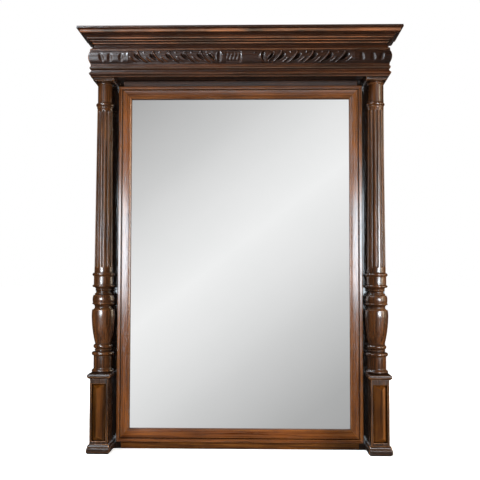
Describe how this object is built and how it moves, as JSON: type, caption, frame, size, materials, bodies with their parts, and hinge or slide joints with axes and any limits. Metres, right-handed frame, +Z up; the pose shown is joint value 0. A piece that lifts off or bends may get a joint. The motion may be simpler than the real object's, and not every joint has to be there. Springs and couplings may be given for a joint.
{
  "type": "carved mirror",
  "caption": "Tall overmantel mirror in dark carved oak: mirror plate in a mitred moulded frame between fluted turned columns on panelled plinths, under a carved frieze and stepped cornice.",
  "frame": {"origin": "centre of the bounding box in plan, on the level of the feet", "axes": "+Z up, front of the mirror faces -Y, +X to the right as seen from the front"},
  "size_m": [1.0106, 0.1676, 1.3233],
  "materials": {
    "dark_oak": "waxed dark stain",
    "carved_oak": "waxed dark stain, worn on the high points",
    "back_wood": "bare, aged",
    "silvered_glass": "polished",
    "steel": "plain"
  },
  "bodies": {
    "root": {"architrave_front": "dark_oak", "architrave_left": "dark_oak", "architrave_right": "dark_oak", "backboard_left": "back_wood", "backboard_middle": "back_wood", "backboard_right": "back_wood", "bottom_rail": "dark_oak", "corner_blocks": "back_wood", "cornice_front": "dark_oak", "cornice_left": "dark_oak", "cornice_right": "dark_oak", "frame_moulding_bottom": "dark_oak", "frame_moulding_left": "dark_oak", "frame_moulding_right": "dark_oak", "frame_moulding_top": "dark_oak", "frieze_front": "carved_oak", "frieze_left": "carved_oak", "frieze_right": "carved_oak", "glazing_blocks": "back_wood", "header_back": "back_wood", "header_board": "back_wood", "header_end_left": "back_wood", "header_end_right": "back_wood", "left_capital_block": "dark_oak", "left_column": "dark_oak", "left_hanger": "steel", "left_plinth_block": "dark_oak", "left_plinth_cap": "dark_oak", "left_plinth_foot": "dark_oak", "left_plinth_ovolo_front": "dark_oak", "left_plinth_ovolo_inner": "dark_oak", "left_plinth_ovolo_outer": "dark_oak", "left_plinth_panel": "dark_oak", "left_stile": "dark_oak", "mirror_plate": "silvered_glass", "right_capital_block": "dark_oak", "right_column": "dark_oak", "right_hanger": "steel", "right_plinth_block": "dark_oak", "right_plinth_cap": "dark_oak", "right_plinth_foot": "dark_oak", "right_plinth_ovolo_front": "dark_oak", "right_plinth_ovolo_inner": "dark_oak", "right_plinth_ovolo_outer": "dark_oak", "right_plinth_panel": "dark_oak", "right_stile": "dark_oak", "soffit_board": "dark_oak", "top_board": "back_wood", "top_rail": "dark_oak"}
  },
  "joints": []
}
